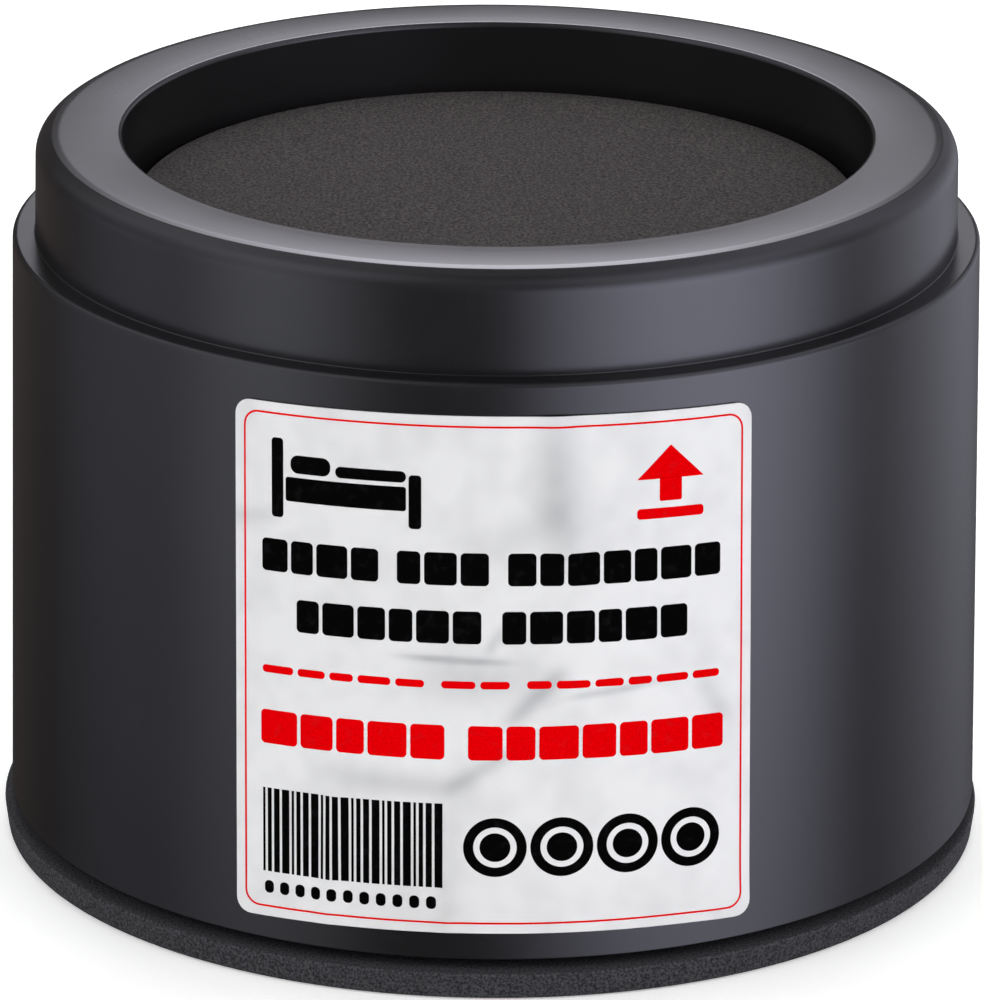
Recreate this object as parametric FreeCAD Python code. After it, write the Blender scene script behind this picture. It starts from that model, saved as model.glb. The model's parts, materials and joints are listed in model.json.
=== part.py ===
"""A round bed riser: a ribbed moulded body with a leg socket, two foam pads and a label.

Millimetres, +Z up. The origin is on the riser's axis at floor level, and the label faces -Y.
"""
import FreeCAD
import Part
import math
import os
from collections import namedtuple

# Heights
LIFT = 76.2  # floor to the top of the seat pad
RIM_HEIGHT = 7.8  # seat pad's top to the rim
COLLAR_HEIGHT = 11.9  # shoulder to the rim

# Plan sizes
SOCKET_RADIUS = 43.0
RIM_WIDTH = 9.95  # socket wall to the collar's outside, at the rim
SHOULDER_WIDTH = 2.6  # ledge between the wall and the collar
DRAFT_DEGREES = 0.75  # taper of the wall and the collar, wider towards the floor

# Moulding
WALL = 2.6
SOCKET_FLOOR = 4.0
SOCKET_SLOPE_HEIGHT = 3.2  # sloping foot of the socket's wall, which centres the seat pad
SOCKET_SLOPE_WIDTH = 2.0
TUBE_STEP = 1.0  # socket's wall to the inside of the load tube below it
RIB = 2.4
TUBE_RIB_COUNT = 6  # between the hub and the load tube
WALL_RIB_COUNT = 12  # between the load tube and the wall
HUB_RADIUS = 9.0
FOOT_REVEAL = 1.4  # gap between the wall's lower edge and the base pad
FOOT_INSET = 4.0  # wall's outside to the foot ring's outside

# Radii of the turned edges, and the flats that the widest one is turned with
RIM_EDGE = 2.3
RIM_FLAT_COUNT = 3
MOUTH_EDGE = 1.1
SHOULDER_EDGE = 0.4
COLLAR_EDGE = 0.7

# Foam pads
SEAT_PAD_THICKNESS = 3.0
SEAT_PAD_CLEARANCE = 0.2  # to the foot of the socket's slope
SEAT_PAD_EDGE = 0.4
BASE_PAD_THICKNESS = 3.0
BASE_PAD_OVERHANG = 1.1  # beyond the wall's lower edge
BASE_PAD_UNDERCUT = 0.4  # lean of the cut edge, inwards to the floor
BASE_PAD_EDGE = 0.3

# Label
LABEL_WIDTH = 59.6  # along the wall
LABEL_TOP_MARGIN = 3.9  # to the shoulder
LABEL_FOOT_MARGIN = 2.8  # to the wall's lower edge
LABEL_CORNER = 1.8
LABEL_THICKNESS = 0.15
LABEL_GLUE = 0.1  # thickness of the adhesive under it

# Levels and radii that follow from the sizes above
AXIS = FreeCAD.Vector(0, 0, 1)
ORIGIN = FreeCAD.Vector(0, 0, 0)
TAPER = math.tan(math.radians(DRAFT_DEGREES))
RIM_Z = LIFT + RIM_HEIGHT
SHOULDER_Z = RIM_Z - COLLAR_HEIGHT
SOCKET_FLOOR_Z = LIFT - SEAT_PAD_THICKNESS
SOCKET_UNDERSIDE_Z = SOCKET_FLOOR_Z - SOCKET_FLOOR
PAD_TOP_Z = BASE_PAD_THICKNESS
FOOT_Z = PAD_TOP_Z + FOOT_REVEAL
SOCKET_FLOOR_RADIUS = SOCKET_RADIUS - SOCKET_SLOPE_WIDTH
TUBE_INSIDE = SOCKET_RADIUS + TUBE_STEP
TUBE_RADIUS = TUBE_INSIDE + WALL


def collar_radius(z):
    """Outside of the collar at a height."""
    return SOCKET_RADIUS + RIM_WIDTH + (RIM_Z - z) * TAPER


def wall_radius(z):
    """Outside of the wall at a height."""
    return collar_radius(z) + SHOULDER_WIDTH


FOOT_RADIUS = wall_radius(FOOT_Z)
FOOT_RING_RADIUS = FOOT_RADIUS - FOOT_INSET


Corner = namedtuple("Corner", "r z radius flats")


def sharp(r, z):
    """A plain corner of a section."""
    return Corner(r, z, 0, 0)


def eased(r, z, radius, flats=1):
    """A corner eased to a radius, which is turned as this many flats. One flat is a bevel."""
    return Corner(r, z, radius, flats)


def section_point(r, z):
    """A point of a section, in the plane that holds the axis and +X."""
    return FreeCAD.Vector(r, 0, z)


def corner_points(before, corner, after):
    """The points of one corner, which lies between its two neighbours."""
    here = section_point(corner.r, corner.z)
    if corner.flats == 0:
        return [here]
    back = (section_point(before.r, before.z) - here).normalize()
    ahead = (section_point(after.r, after.z) - here).normalize()
    half_angle = back.getAngle(ahead) / 2
    turn = math.pi - 2 * half_angle
    centre = here + (back + ahead).normalize() * (corner.radius / math.sin(half_angle))
    leg = corner.radius / math.tan(half_angle)
    start = here + back * leg - centre
    end = here + ahead * leg - centre
    points = []
    for i in range(corner.flats + 1):
        swept = turn * i / corner.flats
        spoke = start * math.sin(turn - swept) + end * math.sin(swept)
        points.append(centre + spoke * (1 / math.sin(turn)))
    return points


def turned(corners):
    """A solid of revolution about the riser's axis, from its section's corners in order."""
    points = []
    for i, corner in enumerate(corners):
        points += corner_points(corners[i - 1], corner, corners[(i + 1) % len(corners)])
    section = Part.Face(Part.makePolygon(points + points[:1]))
    return section.revolve(ORIGIN, AXIS, 360)


def around(shape, count):
    """Copies of a shape, evenly spaced about the axis."""
    return [shape.rotated(ORIGIN, AXIS, 360 * i / count) for i in range(count)]


def body_shell():
    """Foot ring, wall, shoulder, collar, rim, socket and load tube as one turned section."""
    rim_underside = RIM_Z - WALL
    shoulder_underside = SHOULDER_Z - WALL
    foot_flange_top = FOOT_Z + WALL
    collar_inside = collar_radius(shoulder_underside) - WALL
    outside = [
        sharp(FOOT_RING_RADIUS, PAD_TOP_Z),
        sharp(FOOT_RING_RADIUS, FOOT_Z),
        sharp(FOOT_RADIUS, FOOT_Z),
        eased(wall_radius(SHOULDER_Z), SHOULDER_Z, SHOULDER_EDGE),
        eased(collar_radius(SHOULDER_Z), SHOULDER_Z, COLLAR_EDGE),
        eased(collar_radius(RIM_Z), RIM_Z, RIM_EDGE, RIM_FLAT_COUNT),
    ]
    socket = [
        eased(SOCKET_RADIUS, RIM_Z, MOUTH_EDGE),
        sharp(SOCKET_RADIUS, SOCKET_FLOOR_Z + SOCKET_SLOPE_HEIGHT),
        sharp(SOCKET_FLOOR_RADIUS, SOCKET_FLOOR_Z),
        sharp(0, SOCKET_FLOOR_Z),
        sharp(0, SOCKET_UNDERSIDE_Z),
        sharp(TUBE_INSIDE, SOCKET_UNDERSIDE_Z),
        sharp(TUBE_INSIDE, PAD_TOP_Z),
    ]
    cavity = [
        sharp(TUBE_RADIUS, PAD_TOP_Z),
        sharp(TUBE_RADIUS, rim_underside),
        sharp(collar_inside, rim_underside),
        sharp(collar_inside, shoulder_underside),
        sharp(wall_radius(shoulder_underside) - WALL, shoulder_underside),
        sharp(wall_radius(foot_flange_top) - WALL, foot_flange_top),
        sharp(FOOT_RING_RADIUS - WALL, foot_flange_top),
        sharp(FOOT_RING_RADIUS - WALL, PAD_TOP_Z),
    ]
    return turned(outside + socket + cavity)


def rib(corners):
    """One radial rib along +X, from its outline in the section plane."""
    outline = [section_point(r, z) for r, z in corners]
    face = Part.Face(Part.makePolygon(outline + outline[:1]))
    face.translate(FreeCAD.Vector(0, -RIB / 2, 0))
    return face.extrude(FreeCAD.Vector(0, RIB, 0))


def tube_rib():
    """Carries the socket's floor between the hub and the load tube."""
    inner = HUB_RADIUS - WALL / 2
    outer = TUBE_INSIDE + WALL / 2
    top = SOCKET_UNDERSIDE_Z + SOCKET_FLOOR / 2
    return rib([(inner, PAD_TOP_Z), (outer, PAD_TOP_Z), (outer, top), (inner, top)])


def wall_rib():
    """Ties the load tube to the foot ring and the wall."""
    inner = TUBE_RADIUS - WALL / 2
    ring = FOOT_RING_RADIUS - WALL / 2
    flange = FOOT_Z + WALL / 2
    top = SHOULDER_Z - WALL / 2
    return rib([
        (inner, PAD_TOP_Z),
        (ring, PAD_TOP_Z),
        (ring, flange),
        (wall_radius(flange) - WALL / 2, flange),
        (wall_radius(top) - WALL / 2, top),
        (inner, top),
    ])


def hub():
    """The tube on the axis where the inner ribs meet."""
    top = SOCKET_UNDERSIDE_Z + SOCKET_FLOOR / 2
    bore = HUB_RADIUS - WALL
    return turned([
        sharp(bore, PAD_TOP_Z),
        sharp(HUB_RADIUS, PAD_TOP_Z),
        sharp(HUB_RADIUS, top),
        sharp(bore, top),
    ])


def riser_body():
    """The whole moulding: shell, hub and ribs."""
    ribs = around(tube_rib(), TUBE_RIB_COUNT) + around(wall_rib(), WALL_RIB_COUNT)
    return body_shell().multiFuse([hub()] + ribs).removeSplitter()


def seat_pad():
    """Foam disc on the flat of the socket's floor."""
    radius = SOCKET_FLOOR_RADIUS - SEAT_PAD_CLEARANCE
    return turned([
        sharp(0, SOCKET_FLOOR_Z),
        sharp(radius, SOCKET_FLOOR_Z),
        eased(radius, LIFT, SEAT_PAD_EDGE),
        sharp(0, LIFT),
    ])


def base_pad():
    """Foam disc under the body, with the leaning edge of a die cut."""
    top_radius = FOOT_RADIUS + BASE_PAD_OVERHANG
    return turned([
        sharp(0, 0),
        sharp(top_radius - BASE_PAD_UNDERCUT, 0),
        eased(top_radius, PAD_TOP_Z, BASE_PAD_EDGE),
        sharp(0, PAD_TOP_Z),
    ])


def label():
    """A thin sheet that follows the tapered wall, cut to a rounded rectangle from the front."""
    bottom = FOOT_Z + LABEL_FOOT_MARGIN
    top = SHOULDER_Z - LABEL_TOP_MARGIN
    inside = LABEL_GLUE
    outside = LABEL_GLUE + LABEL_THICKNESS
    skin = turned([
        sharp(wall_radius(bottom) + inside, bottom),
        sharp(wall_radius(bottom) + outside, bottom),
        sharp(wall_radius(top) + outside, top),
        sharp(wall_radius(top) + inside, top),
    ])
    mid_radius = wall_radius((bottom + top) / 2)
    seen_width = 2 * mid_radius * math.sin(LABEL_WIDTH / 2 / mid_radius)
    reach = wall_radius(bottom) + outside
    front_corner = FreeCAD.Vector(-seen_width / 2, -reach, bottom)
    cutter = Part.makeBox(seen_width, reach, top - bottom, front_corner)
    corner_edges = [edge for edge in cutter.Edges if abs(edge.tangentAt(0).y) > 0.5]
    return skin.common(cutter.makeFillet(LABEL_CORNER, corner_edges))


NODES = {
    "riser_body": riser_body,
    "seat_pad": seat_pad,
    "base_pad": base_pad,
    "label": label,
}

os.makedirs("parts", exist_ok=True)
for name, make in NODES.items():
    shape = make()
    shape.exportStep(f"parts/{name}.step")
    print(name, "solids", len(shape.Solids), "valid", shape.isValid(), "volume", round(shape.Volume, 1))
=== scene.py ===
"""The looks of a bed riser: satin moulded body, foam pads, printed label, studio and camera.

Shapes are worked out in millimetres in the frame of the solids, and become metres when a mesh is
made. The studio is given in metres.
"""
import bpy
import json
import math
import numpy as np
from mathutils import Matrix, Vector, noise

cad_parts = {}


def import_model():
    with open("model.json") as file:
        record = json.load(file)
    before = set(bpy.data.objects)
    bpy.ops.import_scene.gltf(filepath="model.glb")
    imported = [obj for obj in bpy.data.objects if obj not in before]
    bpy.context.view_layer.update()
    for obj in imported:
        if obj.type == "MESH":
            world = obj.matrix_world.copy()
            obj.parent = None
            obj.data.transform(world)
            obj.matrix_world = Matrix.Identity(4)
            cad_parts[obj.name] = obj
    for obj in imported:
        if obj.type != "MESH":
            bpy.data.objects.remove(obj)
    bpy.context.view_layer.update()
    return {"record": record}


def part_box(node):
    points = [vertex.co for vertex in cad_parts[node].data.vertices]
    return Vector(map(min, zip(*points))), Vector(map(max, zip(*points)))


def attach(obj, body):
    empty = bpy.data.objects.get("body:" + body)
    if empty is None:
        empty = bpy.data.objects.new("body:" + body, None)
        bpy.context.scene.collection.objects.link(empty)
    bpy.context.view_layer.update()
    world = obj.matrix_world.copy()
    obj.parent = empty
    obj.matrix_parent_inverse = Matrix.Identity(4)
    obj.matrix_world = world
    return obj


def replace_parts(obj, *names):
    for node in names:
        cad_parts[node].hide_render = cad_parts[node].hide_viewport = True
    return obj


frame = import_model()
MM = 0.001

# Levels and radii that the solids give, in millimetres
body_low, body_high = (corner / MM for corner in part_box("riser_body"))
seat_low, seat_high = (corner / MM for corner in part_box("seat_pad"))
base_low, base_high = (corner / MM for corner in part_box("base_pad"))
label_low, label_high = (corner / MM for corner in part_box("label"))
mounts = {mount["name"]: mount for mount in frame["record"]["mounts"]}
SOCKET_RADIUS = mounts["leg_socket"]["dims"]["r_mm"]
RIM_Z = body_high.z
PAD_TOP_Z = body_low.z
FOOT_RADIUS = body_high.x
SOCKET_FLOOR_Z = seat_low.z

# Body
COLLAR_HEIGHT = 11.9
SHOULDER_WIDTH = 2.6
DRAFT_DEGREES = 0.75
FOOT_REVEAL = 1.4
FOOT_INSET = 4.0
WALL = 2.6
SOCKET_FLOOR = 4.0
SOCKET_FILLET = 0.5
TUBE_STEP = 1.0
RIB = 2.4
TUBE_RIB_COUNT = 6
WALL_RIB_COUNT = 12
HUB_RADIUS = 9.0
RIM_CROWN = 4.6  # socket's wall to the rim's highest ring, from where it falls both ways
RIM_CROWN_DEGREES = 1.7
RIM_CROWN_ROUND = 80.0
RIM_EASE = 0.85  # width of the steeper ring outside the crown
RIM_EASE_DEGREES = 9.0
RIM_EASE_ROUND = 2.0
RIM_BEVEL = 1.8  # width of the bevel and rounded corner outside it
RIM_BEVEL_DEGREES = 32.0
RIM_LIP_ROUND = 0.5
RIM_ROUND = 2.3
MOUTH_ROUND = 0.6
SHOULDER_ROUND = 0.6
COLLAR_FILLET = 0.12
FOOT_ROUND = 0.22
FOOT_RING_FILLET = 0.3
BODY_SEGMENTS = 360
HUB_SEGMENTS = 90
ARC_STEP_DEGREES = 5
EDGE_LOOP = 0.15  # distance of the support loop beside each rounded edge

SHOULDER_Z = RIM_Z - COLLAR_HEIGHT
FOOT_Z = PAD_TOP_Z + FOOT_REVEAL
SOCKET_UNDERSIDE_Z = SOCKET_FLOOR_Z - SOCKET_FLOOR
FOOT_RING_RADIUS = FOOT_RADIUS - FOOT_INSET
TUBE_INSIDE = SOCKET_RADIUS + TUBE_STEP
TUBE_RADIUS = TUBE_INSIDE + WALL
TAPER = math.tan(math.radians(DRAFT_DEGREES))

# Foam
SEAT_ROUND = 0.5
SEAT_SPREAD = 0.7  # the soft disc spreads this far beyond its solid, towards the socket's wall
SEAT_SETTLE = 0.25  # its skin lies this far under its solid's top
SEAT_WAVE = 0.12  # how far the glued foam dips between its high spots
SEAT_WAVE_LAYERS = ((0.7, 17), (0.3, 6))  # shares and sizes of the dips
SEAT_STEP = 1.5  # spacing of the rings over its top
SEAT_SEGMENTS = 360
BASE_ROUND = 0.25
BASE_UNDERCUT = 0.4
BASE_MARGIN = 0.38  # the cut pad is this much inside the room that its solid takes
BASE_SHIFT = (-0.25, -0.2)  # the pad is glued a touch off centre
BASE_GRAIN = 0.07  # depth of the cut cells in the base pad's edge
BASE_CELL = 0.7  # size of those cells
BASE_CELL_SHARE = 0.6  # their part of the depth; slow waves along the cut make the rest
BASE_CUT_WAVE = 9  # size of those waves
BASE_STEP = 0.35
BASE_SEGMENTS = 720
FOAM_SHARP_DEGREES = 60

# Label
LABEL_WIDTH = 59.6
LABEL_CORNER = 1.8
LABEL_STANDOFF = 0.1
LABEL_THICKNESS = 0.15
LABEL_DROOP = 0.6  # fall of the rows from the front centre to the sides
LABEL_DROOP_ABOVE = 0.4  # share of it by which a row's centre lies above its given height
LABEL_LEAN = 0.4  # the right side is cut this far in at the top and out at the foot
LABEL_TRIM = 0.3  # taken off the foot
LABEL_STEP = 0.31
INK_HEIGHT = 0.03  # the ink stands this far above the paper's face, and reaches as far into it
INK_LOW = LABEL_THICKNESS - INK_HEIGHT
INK_HIGH = LABEL_THICKNESS + INK_HEIGHT
INK_STEP = 0.31
CORNER_STEP_DEGREES = 15
BORDER_INSET = 1.1
BORDER_WIDTH = 0.22
PAPER_WAVE = 0.06
PAPER_WAVE_SIZE = 14
PAPER_WAVE_PLANE = 3  # the plane of the noise that the waves are taken from
# Folds in the paper, ridges and grooves: place along and up the label, slope in degrees,
# half length, width, height
PAPER_FOLDS = [
    (7.0, 34.0, 32, 11.0, 3.2, 0.30),
    (8.2, 34.8, 24, 8.0, 0.9, -0.24),
    (-4.4, 38.2, -2, 7.0, 2.2, 0.28),
    (-4.4, 40.0, -2, 6.0, 0.8, -0.18),
    (-11.0, 26.0, 8, 8.0, 1.8, 0.40),
    (8.0, 58.0, 96, 11.0, 2.0, 0.40),
    (-18.2, 17.0, 86, 9.0, 1.2, 0.26),
    (-4.1, 17.0, 82, 9.0, 1.2, 0.26),
    (26.0, 9.5, -45, 4.0, 3.0, 0.25),
]
# Painted shade along the creases and folds of the paper, in the same terms, with how far its tone
# falls instead of a height
PAPER_PAINTED_CREASE_SHADE = [
    (7.4, 60.5, 94, 9.0, 2.6, 0.50),
    (3.5, 55.0, 25, 5.0, 2.2, 0.30),
    (-4.4, 40.1, -2, 6.0, 0.40, 0.75),
    (-1.0, 37.6, 0, 8.0, 2.6, 0.34),
    (0.2, 42.4, 60, 2.0, 0.7, 0.40),
    (4.6, 35.6, 45, 4.5, 1.1, 0.62),
    (13.6, 36.2, 6, 5.0, 0.45, 0.55),
    (-1.5, 27.2, 33, 4.5, 1.1, 0.52),
    (-11.0, 25.4, -3, 8.0, 1.6, 0.40),
    (25.5, 33.5, -60, 3.5, 1.3, 0.32),
    (-4.6, 15.5, 88, 8.0, 1.6, 0.28),
    (-28.0, 54.5, 10, 3.0, 1.2, 0.36),
]
PAPER_MOTTLE = 0.30  # how far the tone of the paper falls in its cloudy spots
PAPER_MOTTLE_LAYERS = ((0.65, 6), (0.35, 2.2))  # shares and sizes of the clouds
PAPER_MOTTLE_PLANE = 8  # the plane of the noise that they are taken from
PAPER_MOTTLE_GAIN, PAPER_MOTTLE_CLEAR = 2, 0.8  # contrast of the clouds, and what stays clear
PAPER_PAINTED_TOP_SHADE = 0.16  # painted light: how much further the tone is painted down at the label's top than at its foot, as the foot gets less light
PAPER_PAINTED_TOP_SHADE_RISE = 1.5  # that painted shade is full at the label's height divided by this

# Print, as places along and up the label. Bars: left, right, low, high, corner radius
BED_SIGN = [
    (-25.2, -23.8, 55.0, 64.2, 0.4),
    (-23.5, -9.6, 57.0, 59.8, 0.3),
    (-22.9, -18.2, 60.3, 62.4, 0.9),
    (-17.6, -9.6, 60.3, 61.6, 0.6),
    (-9.3, -7.9, 55.0, 61.2, 0.4),
]
ARROW_BARS = [
    (18.6, 21.2, 57.8, 60.5, 0.2),
    (16.0, 23.8, 55.8, 57.0, 0.4),
]
ARROW_HEAD = (16.0, 23.8, 60.4)  # left, right and foot
ARROW_HEAD_ROWS = 11
ARROW_HEAD_RISE = 0.38  # from one row to the next
ARROW_HEAD_INSET = 0.385  # at each side, from one row to the next
# Rows of blocks: low, high, left, right, blocks in each group, gap, gap between groups,
# corner radius
BLACK_ROWS = [
    (48.6, 52.4, -26.4, 25.9, (4, 3, 7), 0.42, 2.1, 0.5),
    (41.8, 45.6, -22.2, 21.9, (6, 6), 0.42, 2.3, 0.5),
]
RED_ROWS = [
    (36.6, 37.5, -26.4, 25.8, (5, 2, 6), 0.55, 1.9, 0.4),
    (28.2, 32.2, -26.6, 26.3, (5, 7), 0.42, 2.6, 0.5),
]
BLOCK_VARIATION = 0.16  # how far a block is wider or narrower than the next
STRIPE_COUNT = 24
STRIPE_LEFT = -26.4
STRIPE_LOW, STRIPE_HIGH = 12.9, 22.9
STRIPE_WIDTH = 0.28  # of the thinnest
STRIPE_WIDENING = 0.2  # from each of the four widths to the next
STRIPE_GAP = 0.3
DOT_COUNT = 11
DOT_LEFT = -26.2
DOT_PITCH = 1.88
DOT_WIDTH = 1.1
DOT_LOW, DOT_HIGH = 10.3, 11.8
DOT_CORNER = 0.5
SIGN_COUNT = 4
SIGN_LEFT = 0.2  # centre of the first
SIGN_PITCH = 7.4
SIGN_Z = 17.8
SIGN_RADII = (3.5, 2.4, 1.7)  # outside and inside of the ring, and the disc

# Colours of the materials, as pairs between which each one varies
PLASTIC_TONES = ((0.0075, 0.0070, 0.0075), (0.0095, 0.0090, 0.0098))
SEAT_TONES = ((0.016, 0.0141, 0.0137), (0.065, 0.0575, 0.0560))
BASE_TONES = ((0.020, 0.0195, 0.022), (0.072, 0.071, 0.078))
PAPER_TONES = ((0.875, 0.875, 0.885), (0.47, 0.475, 0.49))  # clean, and where the mottle and painted shade are full
BLACK_INK = ((0.006, 0.006, 0.007), (0.002, 0.002, 0.002))  # where it lies thin, and full
RED_INK = ((0.72, 0.004, 0.006), (0.79, 0.0, 0.002))

# Camera, fitted to the edges of the object in the photograph
IMAGE_HEIGHT_PX = 1000
FOCAL_PX = 8157.5
SENSOR_MM = 36.0
CAMERA_DISTANCE = 950.9
CAMERA_TARGET_Z = 41.77
CAMERA_ELEVATION = 19.644
CAMERA_PAN = 0.0206
CAMERA_TILT = 0.1786
CAMERA_ROLL = 0.4105
CAMERA_CLIP = (0.05, 20)
CENTRE = Vector((0, 0, CAMERA_TARGET_Z * MM))  # what the camera, the lamps and the cards face

# Studio, with azimuths from the front. Soft lamps: name, azimuth, elevation, distance, size, power
LAMPS = [
    ("lamp_top", 180, 68, 1.1, 0.7, 7.0),
    ("lamp_left", -50, 28, 1.2, 0.7, 4.7),
    ("lamp_right", 50, 28, 1.2, 0.7, 4.9),
]
AMBIENT = 0.35
FLOOR_HALF = 4.0
FLOOR_COLOUR = (0.93, 0.93, 0.93)
FLOOR_GAP = 0.0002  # keeps the floor clear of the base pad's underside
FLOOR_LIFT = 0.34  # added to the floor where it is seen, to make it white
FLOOR_FADE = (0.3, 1.2)  # distances between which that rises to full white, beyond the lamps' reach
SHADE_REACH = 0.24
SHADE_LEVEL = 0.66  # what the shade lets through at the object's foot
SURROUND_RADIUS = 3.0
SURROUND_LEVEL = 0.07
SURROUND_COLOUR = (1.0, 0.98, 0.98)
CARD_DISTANCE = 1.6
CARD_MIDDLE = 0.5  # where a card's glow is full, as a share of its width and height from each edge
# Cards for reflections: name, azimuth, elevation, width and height in degrees, strength, colour
CARDS = [
    ("card_back", 180, 37, 27, 40, 7.3, (1.0, 0.985, 1.09)),
    ("card_right", 48, -9, 98, 84, 3.75, (0.95, 0.96, 1.2)),
    ("card_right_high", 56, 42, 86, 80, 1.4, (0.96, 0.97, 1.17)),
    ("card_right_high_side", 122, 52, 80, 84, 0.75, (0.96, 0.97, 1.17)),
    ("card_left", -52, -8, 64, 84, 1.22, (0.97, 1.0, 1.15)),
    ("card_left_high", -58, 42, 70, 80, 1.2, (0.97, 1.0, 1.15)),
    ("card_left_high_side", -112, 50, 80, 84, 0.8, (0.97, 0.98, 1.12)),
    ("card_left_side", -88, -2, 84, 84, 0.5, (0.95, 0.95, 1.2)),
    ("card_left_back", -145, -12, 70, 84, 0.02, (1.6, 0.8, 0.6)),
    ("card_right_side", 126, -2, 96, 84, 0.8, (0.95, 0.97, 1.15)),
    ("card_front_high", 0, 26, 70, 84, 0.17, (0.95, 0.97, 1.15)),
]
WHITE = (1, 1, 1, 1)


def wall_radius(z):
    """Outside of the wall at a height."""
    return FOOT_RADIUS - (z - FOOT_Z) * TAPER


def collar_radius(z):
    """Outside of the collar at a height."""
    return wall_radius(z) - SHOULDER_WIDTH


# Meshes


def mesh_piece(name, points, faces, material, sharp_degrees=40):
    """A smooth-shaded piece that rides on the one body, from points in millimetres."""
    mesh = bpy.data.meshes.new(name)
    mesh.from_pydata((np.asarray(points) * MM).tolist(), [], faces)
    mesh.shade_smooth()
    mesh.set_sharp_from_angle(angle=math.radians(sharp_degrees))
    mesh.materials.append(material)
    piece = bpy.data.objects.new(name, mesh)
    bpy.context.scene.collection.objects.link(piece)
    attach(piece, "root")
    return piece


def rounded_profile(corners):
    """Section points from (radius, height, edge radius) corners, with arcs and support loops."""
    corners = [(np.array([r, z], float), edge) for r, z, edge in corners]
    runs = []
    for i, (here, edge) in enumerate(corners):
        if edge == 0:
            runs.append([here])
            continue
        back = corners[i - 1][0] - here
        ahead = corners[i + 1][0] - here
        back /= np.linalg.norm(back)
        ahead /= np.linalg.norm(ahead)
        half = math.acos(np.clip(back @ ahead, -1, 1)) / 2
        turn = math.pi - 2 * half
        middle = (back + ahead) / np.linalg.norm(back + ahead)
        centre = here + middle * edge / math.sin(half)
        start = here + back * edge / math.tan(half) - centre
        end = here + ahead * edge / math.tan(half) - centre
        steps = max(2, round(math.degrees(turn) / ARC_STEP_DEGREES))
        arc = []
        for k in range(steps + 1):
            swept = turn * k / steps
            spoke = start * math.sin(turn - swept) + end * math.sin(swept)
            arc.append(centre + spoke / math.sin(turn))
        runs.append(arc)
    points = []
    for i, run in enumerate(runs):
        points += run
        if i + 1 < len(runs):
            start, end = run[-1], runs[i + 1][0]
            length = np.linalg.norm(end - start)
            if length > 3 * EDGE_LOOP:
                step = (end - start) / length * EDGE_LOOP
                points += [start + step, end - step]
    return points


def lathe(profile, segments):
    """Points and faces of a turned form. Its profile is a closed loop or runs from axis to axis."""
    closed = profile[0][0] > 0
    rings = profile if closed else profile[1:-1]
    points = []
    faces = []
    for r, z in rings:
        for k in range(segments):
            a = 2 * math.pi * k / segments
            points.append((r * math.cos(a), r * math.sin(a), z))
    for j in range(len(rings) if closed else len(rings) - 1):
        low = j * segments
        high = (j + 1) % len(rings) * segments
        for k in range(segments):
            n = (k + 1) % segments
            faces.append((low + k, low + n, high + n, high + k))
    if not closed:
        bottom, top = len(points), len(points) + 1
        points += [(0, 0, profile[0][1]), (0, 0, profile[-1][1])]
        last = (len(rings) - 1) * segments
        for k in range(segments):
            n = (k + 1) % segments
            faces.append((bottom, n, k))
            faces.append((top, last + k, last + n))
    return points, faces


def between(start, end, step):
    """Points from one section point to another, the first left out, at most this far apart."""
    start, end = np.array(start, float), np.array(end, float)
    count = max(1, math.ceil(np.linalg.norm(end - start) / step))
    return [start + (end - start) * k / count for k in range(1, count + 1)]


def subdivided(profile, step, beyond=0):
    """A profile with more points on its stretches beyond a radius."""
    points = [profile[0]]
    for start, end in zip(profile, profile[1:]):
        outside = min(start[0], end[0]) >= beyond
        points += between(start, end, step) if outside else [end]
    return points


def joined(parts):
    """Several (points, faces) meshes as one."""
    points, faces = [], []
    for part_points, part_faces in parts:
        shift = len(points)
        points += list(part_points)
        faces += [tuple(shift + i for i in face) for face in part_faces]
    return points, faces


# Materials


def node_maker(tree):
    """The two functions that build a node tree: one makes a node with its inputs set, one links."""

    def node(kind, operation=None, **inputs):
        made = tree.nodes.new(kind)
        if operation:
            made.operation = operation
        for key, value in inputs.items():
            made.inputs[key.replace("_", " ")].default_value = value
        return made

    return node, tree.links.new


def new_material(name):
    """A node material with its shader, and the two functions that build its nodes."""
    material = bpy.data.materials.new(name)
    material.use_nodes = True
    tree = material.node_tree
    return material, tree.nodes["Principled BSDF"], *node_maker(tree)


def noise_at(node, link, scale, detail=2.0, roughness=0.5):
    """A noise texture in the object's own space."""
    place = node("ShaderNodeTexCoord")
    texture = node("ShaderNodeTexNoise", Scale=scale, Detail=detail, Roughness=roughness)
    link(place.outputs["Object"], texture.inputs["Vector"])
    return texture


def ramp(node, link, source, stops):
    """A colour ramp over a texture's value. stops are (position, grey or colour)."""
    made = node("ShaderNodeValToRGB")
    elements = made.color_ramp.elements
    while len(elements) < len(stops):
        elements.new(0.5)
    for element, (position, colour) in zip(elements, stops):
        element.position = position
        values = colour if hasattr(colour, "__len__") else (colour,) * 3
        element.color = (*values, 1)
    link(source, made.inputs["Fac"])
    return made


def body_plastic():
    """Black moulded plastic: a satin skin with a faint spark-eroded texture and uneven gloss."""
    material, shader, node, link = new_material("body_plastic")
    cloud = noise_at(node, link, scale=55, detail=3)
    dark, light = PLASTIC_TONES
    tint = ramp(node, link, cloud.outputs["Fac"], [(0.3, dark), (0.7, light)])
    link(tint.outputs["Color"], shader.inputs["Base Color"])
    gloss = ramp(node, link, cloud.outputs["Fac"], [(0.3, 0.24), (0.7, 0.28)])
    link(gloss.outputs["Color"], shader.inputs["Roughness"])
    skin = noise_at(node, link, scale=4200, detail=2)
    bump = node("ShaderNodeBump", Strength=0.01, Distance=0.00001)
    link(skin.outputs["Fac"], bump.inputs["Height"])
    link(bump.outputs["Normal"], shader.inputs["Normal"])
    return material


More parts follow.
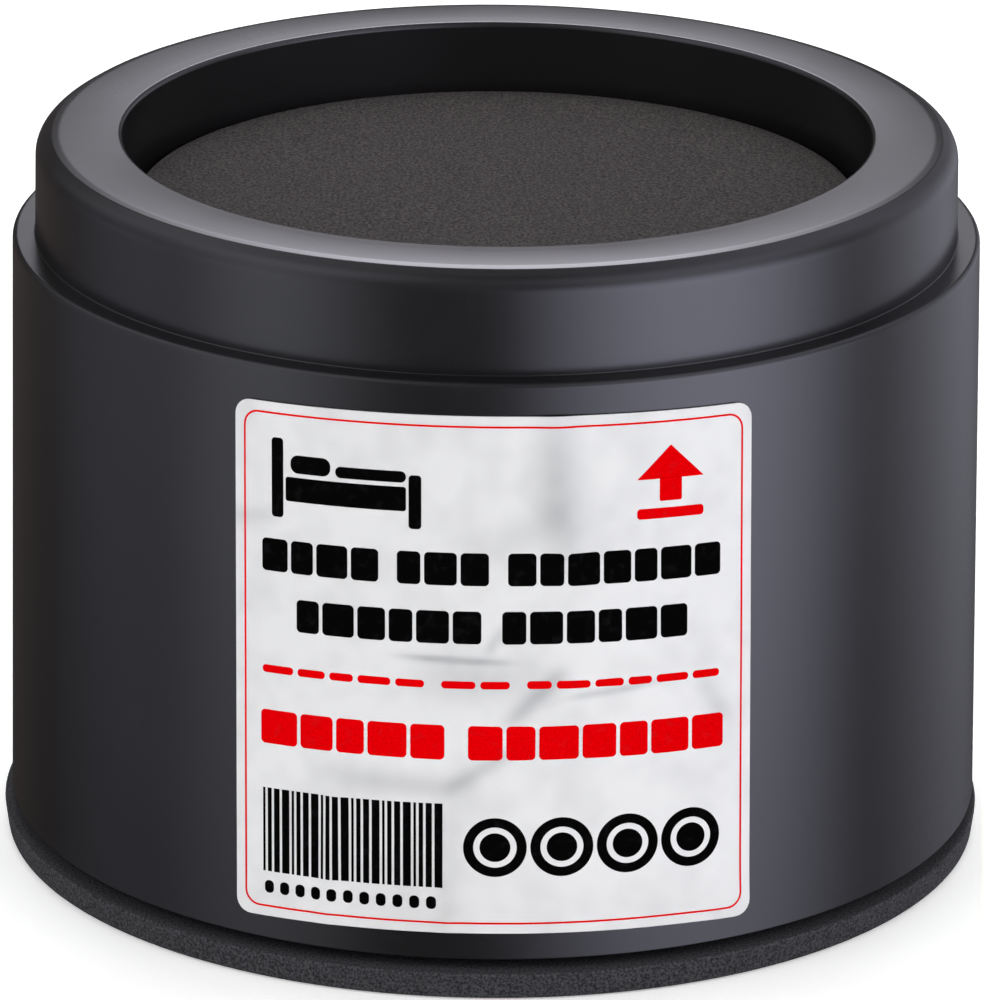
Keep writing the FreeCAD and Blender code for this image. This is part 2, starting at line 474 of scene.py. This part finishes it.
def foam(name, dark, light, cell_mm, depth_mm):
    """Closed-cell foam: matt, with a grain of fine cells."""
    material, shader, node, link = new_material(name)
    cells = noise_at(node, link, scale=1 / (cell_mm * MM), detail=3, roughness=0.65)
    tint = ramp(node, link, cells.outputs["Fac"], [(0.41, dark), (0.59, light)])
    link(tint.outputs["Color"], shader.inputs["Base Color"])
    shader.inputs["Roughness"].default_value = 0.92
    shader.inputs["Specular IOR Level"].default_value = 0.2
    bump = node("ShaderNodeBump", Strength=0.8, Distance=depth_mm * MM)
    link(cells.outputs["Fac"], bump.inputs["Height"])
    link(bump.outputs["Normal"], shader.inputs["Normal"])
    return material


def label_paper():
    """Smooth coated paper, greyed by the random mottle and painted shade that its mesh holds."""
    material, shader, node, link = new_material("label_paper")
    wear = node("ShaderNodeAttribute")
    wear.attribute_name = "wear"
    clean, greyed_tone = PAPER_TONES
    tint = ramp(node, link, wear.outputs["Fac"], [(0.0, clean), (1.0, greyed_tone)])
    link(tint.outputs["Color"], shader.inputs["Base Color"])
    shader.inputs["Roughness"].default_value = 0.5
    fibre = noise_at(node, link, scale=3500, detail=3)
    bump = node("ShaderNodeBump", Strength=0.15, Distance=0.00001)
    link(fibre.outputs["Fac"], bump.inputs["Height"])
    link(bump.outputs["Normal"], shader.inputs["Normal"])
    return material


def ink(name, thin, full):
    """Printing ink: nearly even, with a slight mottle where it lies thin."""
    material, shader, node, link = new_material(name)
    mottle = noise_at(node, link, scale=900, detail=2)
    tint = ramp(node, link, mottle.outputs["Fac"], [(0.25, thin), (0.45, full)])
    link(tint.outputs["Color"], shader.inputs["Base Color"])
    shader.inputs["Roughness"].default_value = 0.6
    shader.inputs["Specular IOR Level"].default_value = 0.0
    return material


# Body


def fall(width, degrees):
    """How far a slope drops over a width."""
    return width * math.tan(math.radians(degrees))


def shell_profile():
    """The turned section, from the underside of the socket's floor round the outside to its top."""
    rim_underside = RIM_Z - WALL
    shoulder_underside = SHOULDER_Z - WALL
    flange_top = FOOT_Z + WALL
    collar_inside = collar_radius(shoulder_underside) - WALL
    rim_edge = collar_radius(RIM_Z)
    crown = SOCKET_RADIUS + RIM_CROWN
    lip = rim_edge - RIM_BEVEL
    ease = lip - RIM_EASE
    mouth_z = RIM_Z - fall(RIM_CROWN, RIM_CROWN_DEGREES)
    ease_z = RIM_Z - fall(ease - crown, RIM_CROWN_DEGREES)
    lip_z = ease_z - fall(RIM_EASE, RIM_EASE_DEGREES)
    bevel_z = lip_z - fall(RIM_BEVEL, RIM_BEVEL_DEGREES)
    inside = [
        (0, SOCKET_UNDERSIDE_Z, 0),
        (TUBE_INSIDE, SOCKET_UNDERSIDE_Z, 0),
        (TUBE_INSIDE, PAD_TOP_Z, 0),
        (TUBE_RADIUS, PAD_TOP_Z, 0),
        (TUBE_RADIUS, rim_underside, 0),
        (collar_inside, rim_underside, 0),
        (collar_inside, shoulder_underside, 0),
        (wall_radius(shoulder_underside) - WALL, shoulder_underside, 0),
        (wall_radius(flange_top) - WALL, flange_top, 0),
        (FOOT_RING_RADIUS - WALL, flange_top, 0),
        (FOOT_RING_RADIUS - WALL, PAD_TOP_Z, 0),
    ]
    outside = [
        (FOOT_RING_RADIUS, PAD_TOP_Z, 0),
        (FOOT_RING_RADIUS, FOOT_Z, FOOT_RING_FILLET),
        (FOOT_RADIUS, FOOT_Z, FOOT_ROUND),
        (wall_radius(SHOULDER_Z), SHOULDER_Z, SHOULDER_ROUND),
        (collar_radius(SHOULDER_Z), SHOULDER_Z, COLLAR_FILLET),
        (rim_edge, bevel_z, RIM_ROUND),
        (lip, lip_z, RIM_LIP_ROUND),
        (ease, ease_z, RIM_EASE_ROUND),
        (crown, RIM_Z, RIM_CROWN_ROUND),
        (SOCKET_RADIUS, mouth_z, MOUTH_ROUND),
        (SOCKET_RADIUS, SOCKET_FLOOR_Z, SOCKET_FILLET),
        (0, SOCKET_FLOOR_Z, 0),
    ]
    return rounded_profile(inside + outside)


def rib_mesh(outline, turn):
    """One radial rib, from its outline in the section plane and its angle about the axis."""
    count = len(outline)
    points = []
    for side in (-RIB / 2, RIB / 2):
        for r, z in outline:
            x = r * math.cos(turn) - side * math.sin(turn)
            y = r * math.sin(turn) + side * math.cos(turn)
            points.append((x, y, z))
    faces = [tuple(range(count)), tuple(range(2 * count - 1, count - 1, -1))]
    for i in range(count):
        n = (i + 1) % count
        faces.append((n, i, count + i, count + n))
    return points, faces


def ribs():
    """Hub and ribs under the socket, and ribs between the load tube and the wall."""
    half = WALL / 2
    floor_middle = SOCKET_FLOOR_Z - SOCKET_FLOOR / 2
    bore = HUB_RADIUS - WALL
    hub = [
        (bore, PAD_TOP_Z),
        (HUB_RADIUS, PAD_TOP_Z),
        (HUB_RADIUS, floor_middle),
        (bore, floor_middle),
    ]
    inner = HUB_RADIUS - half
    outer = TUBE_INSIDE + WALL / 3  # stops short of the ribs that enter the tube from outside
    tube_rib = [
        (inner, PAD_TOP_Z),
        (outer, PAD_TOP_Z),
        (outer, floor_middle),
        (inner, floor_middle),
    ]
    tube = TUBE_RADIUS - half
    ring = FOOT_RING_RADIUS - half
    flange = FOOT_Z + half
    top = SHOULDER_Z - half
    wall_rib = [
        (tube, PAD_TOP_Z),
        (ring, PAD_TOP_Z),
        (ring, flange),
        (wall_radius(flange) - half, flange),
        (wall_radius(top) - half, top),
        (tube, top),
    ]
    parts = [lathe(hub, HUB_SEGMENTS)]
    for outline, count in ((tube_rib, TUBE_RIB_COUNT), (wall_rib, WALL_RIB_COUNT)):
        parts += [rib_mesh(outline, 2 * math.pi * i / count) for i in range(count)]
    return parts


def body():
    """The whole moulding, with its true rounded edges."""
    points, faces = joined([lathe(shell_profile(), BODY_SEGMENTS)] + ribs())
    piece = mesh_piece("riser_moulding", points, faces, body_plastic())
    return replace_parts(piece, "riser_body")


# Foam pads


def unit_noise(x, y, z, scale):
    """Noise between 0 and 1 at a point, with features of about this size."""
    return min(1, max(0, 0.5 + 0.5 * noise.noise(Vector((x, y, z)) / scale)))


def layered_noise(x, y, z, layers):
    """Noise between 0 and 1 from several sizes of features, given as (share, size)."""
    return sum(share * unit_noise(x, y, z, size) for share, size in layers)


def seat_foam():
    """Foam disc in the socket: a soft edge and a skin that isn't quite flat."""
    radius = seat_high.x + SEAT_SPREAD
    low, high = seat_low.z, seat_high.z - SEAT_SETTLE
    edge = rounded_profile([
        (0, low, 0),
        (radius, low, 0),
        (radius, high, SEAT_ROUND),
        (0, high, 0),
    ])
    points, faces = lathe(subdivided(edge, SEAT_STEP), SEAT_SEGMENTS)
    settled = []
    for x, y, z in points:
        dip = layered_noise(x, y, 0, SEAT_WAVE_LAYERS)
        settled.append((x, y, z - SEAT_WAVE * dip if z > low else z))
    material = foam("seat_foam", *SEAT_TONES, cell_mm=0.34, depth_mm=0.06)
    piece = mesh_piece("seat_foam_disc", settled, faces, material, FOAM_SHARP_DEGREES)
    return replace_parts(piece, "seat_pad")


def base_foam():
    """Foam disc under the body: a die-cut edge that leans in, open with cut cells."""
    radius = base_high.x - BASE_MARGIN
    low, high = base_low.z, base_high.z
    edge = rounded_profile([
        (0, low, 0),
        (radius - BASE_UNDERCUT, low, BASE_ROUND / 2),
        (radius, high, BASE_ROUND),
        (FOOT_RING_RADIUS, high, 0),
        (0, high, 0),
    ])
    points, faces = lathe(subdivided(edge, BASE_STEP, beyond=FOOT_RING_RADIUS), BASE_SEGMENTS)
    cut = []
    for x, y, z in points:
        cells = BASE_CELL_SHARE * unit_noise(x, y, z, BASE_CELL)
        waves = (1 - BASE_CELL_SHARE) * unit_noise(x, y, 0, BASE_CUT_WAVE)
        keep = 1 - BASE_GRAIN * (cells + waves) / radius
        cut.append((x * keep + BASE_SHIFT[0], y * keep + BASE_SHIFT[1], z))
    material = foam("base_foam", *BASE_TONES, cell_mm=0.30, depth_mm=0.08)
    piece = mesh_piece("base_foam_disc", cut, faces, material, FOAM_SHARP_DEGREES)
    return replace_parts(piece, "base_pad")


# Label


def along_folds(folds, s, z):
    """The sum at a place of what a list of folds gives there."""
    total = 0
    for along, up, slope, half_length, width, height in folds:
        a = math.radians(slope)
        on = (s - along) * math.cos(a) + (z - up) * math.sin(a)
        off = (z - up) * math.cos(a) - (s - along) * math.sin(a)
        total += height * math.exp(-(on / half_length) ** 4 - (off / width) ** 2)
    return total


def paper_lift(s, z):
    """How far the paper stands off its glue at a place: a slow wave and the folds."""
    wave = PAPER_WAVE * unit_noise(s, z, PAPER_WAVE_PLANE, PAPER_WAVE_SIZE)
    return max(0, wave + along_folds(PAPER_FOLDS, s, z))


def paper_mottle_and_painted_shade(s, z):
    """How far the paper is greyed, from 0 to 1: random mottle, and painted shade on creases and
    top.
    """
    clouds = layered_noise(s, z, PAPER_MOTTLE_PLANE, PAPER_MOTTLE_LAYERS)
    mottle = PAPER_MOTTLE * max(0, PAPER_MOTTLE_GAIN * clouds - PAPER_MOTTLE_CLEAR)
    up = (z - label_low.z) / (label_high.z - label_low.z)
    # painted light: the paper is painted darker towards its top, to make up for its foot getting
    # less light
    painted_top_shade = PAPER_PAINTED_TOP_SHADE * min(1, up * PAPER_PAINTED_TOP_SHADE_RISE)
    return min(1, painted_top_shade + mottle + along_folds(PAPER_PAINTED_CREASE_SHADE, s, z))


def on_label(s, z, height):
    """A point at an arc length from the front centre and a level, this far off the label's glue."""
    half = LABEL_WIDTH / 2
    level = z + LABEL_DROOP * (LABEL_DROOP_ABOVE - (s / half) ** 2)
    up = (2 * z - label_low.z - label_high.z) / (label_high.z - label_low.z)
    lean = LABEL_LEAN * up * (s + half) / LABEL_WIDTH
    r = wall_radius(level) + LABEL_STANDOFF + paper_lift(s, z) + height
    a = (s - lean) / wall_radius(level)
    return r * math.sin(a), -r * math.cos(a), level


def sheet_mesh(rows, bottom, top, step):
    """Points and faces of a thin closed sheet on the label, from (height, left, right) rows."""
    widest = max(right - left for _, left, right in rows)
    columns = max(1, math.ceil(widest / step))
    front, back = [], []
    for z, left, right in rows:
        for k in range(columns + 1):
            s = left + (right - left) * k / columns
            front.append(on_label(s, z, top))
            back.append(on_label(s, z, bottom))
    points = front + back
    shift = len(front)
    faces = []
    wide = columns + 1
    for j in range(len(rows) - 1):
        for k in range(columns):
            a = j * wide + k
            quad = (a, a + 1, a + 1 + wide, a + wide)
            faces.append(quad)
            faces.append(tuple(shift + i for i in reversed(quad)))
    rim = list(range(wide))
    rim += [j * wide + columns for j in range(1, len(rows))]
    rim += [(len(rows) - 1) * wide + k for k in range(columns - 1, -1, -1)]
    rim += [j * wide for j in range(len(rows) - 2, 0, -1)]
    for i, a in enumerate(rim):
        b = rim[(i + 1) % len(rim)]
        faces.append((a, shift + a, shift + b, b))
    return points, faces


def bar_rows(left, right, low, high, corner, step=INK_STEP):
    """Rows of a bar with rounded corners."""
    corner = min(corner, (right - left) / 2, (high - low) / 2)
    turns = [math.radians(a) for a in range(0, 91, CORNER_STEP_DEGREES)]
    heights = [low + corner * (1 - math.cos(a)) for a in turns] if corner else [low]
    heights += [point[1] for point in between((0, heights[-1]), (0, high - corner), step)]
    if corner:
        heights += [high - corner + corner * math.sin(a) for a in turns[1:]]
    rows = []
    for z in heights:
        beyond = max(0, low + corner - z, z - (high - corner))
        inset = corner - math.sqrt(max(0, corner ** 2 - beyond ** 2))
        rows.append((z, left + inset, right - inset))
    return rows


def paper():
    """The label's sheet of paper."""
    half = LABEL_WIDTH / 2
    rows = bar_rows(-half, half, label_low.z + LABEL_TRIM, label_high.z, LABEL_CORNER, LABEL_STEP)
    points, faces = sheet_mesh(rows, 0, LABEL_THICKNESS, LABEL_STEP)
    piece = mesh_piece("label_sheet", points, faces, label_paper())
    # painted shade: the mesh holds the painted crease shade and top shade, with the random mottle
    wear = piece.data.attributes.new("wear", "FLOAT", "POINT")
    for item, (x, y, z) in zip(wear.data, points):
        item.value = paper_mottle_and_painted_shade(math.atan2(x, -y) * FOOT_RADIUS, z)
    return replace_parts(piece, "label")


def printed(name, shapes, bands, material):
    """One colour of the print as thin raised ink: row shapes, and bands that are meshes already."""
    sheets = [sheet_mesh(rows, INK_LOW, INK_HIGH, INK_STEP) for rows in shapes]
    points, faces = joined(sheets + bands)
    return mesh_piece(name, points, faces, material)


def block_row(low, high, left, right, words, gap, word_gap, corner):
    """A row of letter-sized blocks in groups, with widths that vary in turn and fill the row."""
    shares = []
    for word in words:
        shares.append([1 + BLOCK_VARIATION * ((k * 2 + word) % 3 - 1) for k in range(word)])
    gaps = gap * (sum(words) - len(words)) + word_gap * (len(words) - 1)
    width = (right - left - gaps) / sum(map(sum, shares))
    shapes = []
    for word in shares:
        for share in word:
            shapes.append(bar_rows(left, left + width * share, low, high, corner))
            left += width * share + gap
        left += word_gap - gap
    return shapes


def black_shapes():
    """Bed sign, two heading rows and a stripe block with a row of dots."""
    shapes = [bar_rows(*bar) for bar in BED_SIGN]
    for row in BLACK_ROWS:
        shapes += block_row(*row)
    left = STRIPE_LEFT
    for k in range(STRIPE_COUNT):
        width = STRIPE_WIDTH + STRIPE_WIDENING * ((k * 5) % 4)
        shapes.append(bar_rows(left, left + width, STRIPE_LOW, STRIPE_HIGH, 0))
        left += width + STRIPE_GAP
    for k in range(DOT_COUNT):
        left = DOT_LEFT + DOT_PITCH * k
        shapes.append(bar_rows(left, left + DOT_WIDTH, DOT_LOW, DOT_HIGH, DOT_CORNER))
    return shapes


def red_shapes():
    """Lift arrow, a row of thin dashes and a row of bold blocks."""
    left, right, foot = ARROW_HEAD
    head = []
    for k in range(ARROW_HEAD_ROWS):
        inset = ARROW_HEAD_INSET * k
        head.append((foot + ARROW_HEAD_RISE * k, left + inset, right - inset))
    shapes = [head] + [bar_rows(*bar) for bar in ARROW_BARS]
    for row in RED_ROWS:
        shapes += block_row(*row)
    return shapes


def ring_mesh(outer, inner):
    """Points and faces of a closed band of ink, between two loops of (along, up) points."""
    count = len(outer)
    points = []
    for loop, height in ((outer, INK_HIGH), (inner, INK_HIGH), (inner, INK_LOW), (outer, INK_LOW)):
        points += [on_label(s, z, height) for s, z in loop]
    faces = []
    for band in range(4):
        here, there = band * count, (band + 1) % 4 * count
        for k in range(count):
            n = (k + 1) % count
            faces.append((here + k, here + n, there + n, there + k))
    return points, faces


def disc_mesh(centre, loop):
    """Points and faces of a closed disc of ink, from its centre and a loop of points round it."""
    count = len(loop)
    points = [on_label(s, z, height) for height in (INK_HIGH, INK_LOW) for s, z in loop]
    points += [on_label(*centre, INK_HIGH), on_label(*centre, INK_LOW)]
    faces = []
    for k in range(count):
        n = (k + 1) % count
        faces.append((k, n, 2 * count))
        faces.append((count + n, count + k, 2 * count + 1))
        faces.append((count + k, count + n, n, k))
    return points, faces


def rounded_loop(left, right, low, high, corner, per_side=60, per_corner=8):
    """Points round a rounded rectangle, anticlockwise from its lower right corner."""
    loop = []
    centres = [(right - corner, low + corner), (right - corner, high - corner),
               (left + corner, high - corner), (left + corner, low + corner)]
    for i, (s, z) in enumerate(centres):
        for k in range(per_corner + 1):
            a = math.radians(90 * (i - 1 + k / per_corner))
            loop.append((s + corner * math.cos(a), z + corner * math.sin(a)))
        a = math.radians(90 * i)
        end = (s + corner * math.cos(a), z + corner * math.sin(a))
        s, z = centres[(i + 1) % 4]
        start = (s + corner * math.cos(a), z + corner * math.sin(a))
        for k in range(1, per_side):
            t = k / per_side
            loop.append((end[0] + (start[0] - end[0]) * t, end[1] + (start[1] - end[1]) * t))
    return loop


def border():
    """The thin red line round the label."""
    half = LABEL_WIDTH / 2 - BORDER_INSET
    low, high = label_low.z + LABEL_TRIM + BORDER_INSET, label_high.z - BORDER_INSET
    loops = []
    for inset in (0, BORDER_WIDTH):
        side = half - inset
        corner = LABEL_CORNER - inset
        loops.append(rounded_loop(-side, side, low + inset, high - inset, corner))
    return ring_mesh(*loops)


def circle(s, z, radius, count=48):
    """Points round a circle on the label."""
    turns = [2 * math.pi * k / count for k in range(count)]
    return [(s + radius * math.cos(a), z + radius * math.sin(a)) for a in turns]


def four_signs():
    """Four round risers seen from above, each a ring and a disc."""
    outside, inside, disc = SIGN_RADII
    parts = []
    for k in range(SIGN_COUNT):
        s = SIGN_LEFT + SIGN_PITCH * k
        parts.append(ring_mesh(circle(s, SIGN_Z, outside), circle(s, SIGN_Z, inside)))
        parts.append(disc_mesh((s, SIGN_Z), circle(s, SIGN_Z, disc)))
    return parts


def label():
    """Paper and print."""
    paper()
    printed("label_print_black", black_shapes(), four_signs(), ink("ink_black", *BLACK_INK))
    printed("label_print_red", red_shapes(), [border()], ink("ink_red", *RED_INK))


# Studio


def aimed(azimuth, elevation, distance, target):
    """A placement at a direction and distance from a target, facing it with its own -Z."""
    a, e = math.radians(azimuth), math.radians(elevation)
    back = Vector((math.sin(a) * math.cos(e), -math.cos(a) * math.cos(e), math.sin(e)))
    placed = back.to_track_quat("Z", "Y").to_matrix().to_4x4()
    placed.translation = target + back * distance
    return placed


def lamp(name, azimuth, elevation, distance, size, power):
    """A square soft lamp that lights the object's colours; the cards make its reflections."""
    light = bpy.data.lights.new(name, "AREA")
    light.shape = "SQUARE"
    light.size = size
    light.energy = power
    placed = bpy.data.objects.new(name, light)
    placed.matrix_world = aimed(azimuth, elevation, distance, CENTRE)
    placed.visible_glossy = False
    bpy.context.scene.collection.objects.link(placed)


def glossy_only(piece):
    """A stage piece that only reflections see."""
    piece.visible_camera = False
    piece.visible_diffuse = False
    piece.visible_transmission = False
    piece.visible_volume_scatter = False
    piece.visible_shadow = False


def bare_material(name):
    """An empty node material, its surface input and the two functions that build its nodes."""
    material = bpy.data.materials.new(name)
    material.use_nodes = True
    tree = material.node_tree
    tree.nodes.clear()
    node, link = node_maker(tree)
    return material, node("ShaderNodeOutputMaterial").inputs["Surface"], node, link


def stage_sheet(name, half_width, half_height, material):
    """A flat sheet about its own origin."""
    x, y = half_width, half_height
    mesh = bpy.data.meshes.new(name)
    mesh.from_pydata([(-x, -y, 0), (x, -y, 0), (x, y, 0), (-x, y, 0)], [], [(0, 1, 2, 3)])
    mesh.materials.append(material)
    sheet = bpy.data.objects.new(name, mesh)
    bpy.context.scene.collection.objects.link(sheet)
    return sheet


def card(name, azimuth, elevation, width, height, strength, colour):
    """A glowing card with soft edges, given as angles seen from the object, for reflections."""
    material, surface, node, link = bare_material(name)
    place = node("ShaderNodeTexCoord")
    split = node("ShaderNodeSeparateXYZ")
    link(place.outputs["Generated"], split.inputs["Vector"])
    level = node("ShaderNodeMath", "MULTIPLY")
    for factor, axis, most in ((0, "X", 1), (1, "Y", strength)):
        fold = node("ShaderNodeMath", "PINGPONG")
        fold.inputs[1].default_value = CARD_MIDDLE
        link(split.outputs[axis], fold.inputs[0])
        rise = node("ShaderNodeMapRange", From_Max=CARD_MIDDLE, To_Max=most)
        rise.interpolation_type = "SMOOTHSTEP"
        link(fold.outputs[0], rise.inputs["Value"])
        link(rise.outputs["Result"], level.inputs[factor])
    glow = node("ShaderNodeEmission", Color=(*colour, 1))
    link(level.outputs[0], glow.inputs["Strength"])
    clear = node("ShaderNodeBsdfTransparent")
    both = node("ShaderNodeAddShader")
    link(glow.outputs["Emission"], both.inputs[0])
    link(clear.outputs["BSDF"], both.inputs[1])
    link(both.outputs["Shader"], surface)
    half_width = CARD_DISTANCE * math.tan(math.radians(width / 2))
    half_height = CARD_DISTANCE * math.tan(math.radians(height / 2))
    sheet = stage_sheet(name, half_width, half_height, material)
    sheet.matrix_world = aimed(azimuth, elevation, CARD_DISTANCE, CENTRE)
    glossy_only(sheet)


def surround():
    """The dim studio round the set, which reflections see."""
    bpy.ops.mesh.primitive_uv_sphere_add(
        segments=32, ring_count=16, radius=SURROUND_RADIUS, location=CENTRE)
    sphere = bpy.context.object
    sphere.name = "studio_surround"
    material, surface, node, link = bare_material("studio_surround")
    glow = node("ShaderNodeEmission", Color=(*SURROUND_COLOUR, 1), Strength=SURROUND_LEVEL)
    link(glow.outputs["Emission"], surface)
    sphere.data.materials.append(material)
    glossy_only(sphere)


def by_distance(node, link, near, far, low):
    """An output that rises from a low value to 1 between two distances from the sheet's origin."""
    place = node("ShaderNodeTexCoord")
    distance = node("ShaderNodeVectorMath", "LENGTH")
    link(place.outputs["Object"], distance.inputs[0])
    rise = node("ShaderNodeMapRange", From_Min=near, From_Max=far, To_Min=low)
    link(distance.outputs["Value"], rise.inputs["Value"])
    return rise.outputs["Result"]


def floor_shade():
    """The shade round the object on the floor, as reflections in its wall see it."""
    material, surface, node, link = bare_material("floor_shade")
    clear = node("ShaderNodeBsdfTransparent")
    level = by_distance(node, link, FOOT_RADIUS * MM, SHADE_REACH, SHADE_LEVEL)
    link(level, clear.inputs["Color"])
    link(clear.outputs["BSDF"], surface)
    sheet = stage_sheet("floor_shade", SHADE_REACH, SHADE_REACH, material)
    sheet.location.z = -FLOOR_GAP / 2
    glossy_only(sheet)


def seen_directly(node, link):
    """An output: 1 for what is seen, mirrored or looked through, and 0 for scattered light."""
    path = node("ShaderNodeLightPath")
    seen = path.outputs["Is Camera Ray"]
    for name in ("Is Glossy Ray", "Is Transmission Ray"):
        either = node("ShaderNodeMath", "MAXIMUM")
        link(seen, either.inputs[0])
        link(path.outputs[name], either.inputs[1])
        seen = either.outputs[0]
    return seen


def floor():
    """A white floor that keeps the object's shadow."""
    material, shader, node, link = new_material("floor")
    shader.inputs["Base Color"].default_value = (*FLOOR_COLOUR, 1)
    shader.inputs["Roughness"].default_value = 1.0
    shader.inputs["Specular IOR Level"].default_value = 0.0
    shader.inputs["Emission Color"].default_value = WHITE
    lift = node("ShaderNodeMapRange")
    link(seen_directly(node, link), lift.inputs["Value"])
    link(by_distance(node, link, *FLOOR_FADE, FLOOR_LIFT), lift.inputs["To Max"])
    link(lift.outputs["Result"], shader.inputs["Emission Strength"])
    placed = stage_sheet("floor", FLOOR_HALF, FLOOR_HALF, material)
    placed.location.z = -FLOOR_GAP
    placed.visible_glossy = False


def world():
    """White for what is seen, mirrored or looked through, and a soft fill for scattered light."""
    made = bpy.data.worlds.new("studio")
    bpy.context.scene.world = made
    made.use_nodes = True
    tree = made.node_tree
    background = tree.nodes["Background"]
    background.inputs["Color"].default_value = WHITE
    node, link = node_maker(tree)
    level = node("ShaderNodeMapRange", To_Min=AMBIENT, To_Max=1.0)
    link(seen_directly(node, link), level.inputs["Value"])
    link(level.outputs["Result"], background.inputs["Strength"])


def studio():
    """Floor, world and lamps, and what the reflections see."""
    floor()
    floor_shade()
    world()
    for values in LAMPS:
        lamp(*values)
    surround()
    for values in CARDS:
        card(*values)


def camera():
    """The photograph's viewpoint."""
    data = bpy.data.cameras.new("camera")
    data.sensor_width = SENSOR_MM
    data.lens = FOCAL_PX / IMAGE_HEIGHT_PX * SENSOR_MM
    data.clip_start, data.clip_end = CAMERA_CLIP
    placed = bpy.data.objects.new("camera", data)
    elevation = math.radians(CAMERA_ELEVATION)
    turn = Matrix.Rotation(math.pi / 2 - elevation, 4, "X")
    turn @= Matrix.Rotation(math.radians(CAMERA_PAN), 4, "Y")
    turn @= Matrix.Rotation(math.radians(-CAMERA_TILT), 4, "X")
    turn @= Matrix.Rotation(math.radians(CAMERA_ROLL), 4, "Z")
    reach = Vector((0, -math.cos(elevation), math.sin(elevation))) * CAMERA_DISTANCE * MM
    placed.matrix_world = Matrix.Translation(CENTRE + reach) @ turn
    bpy.context.scene.collection.objects.link(placed)
    bpy.context.scene.camera = placed


body()
seat_foam()
base_foam()
label()
studio()
camera()
bpy.context.scene.view_settings.view_transform = "Standard"
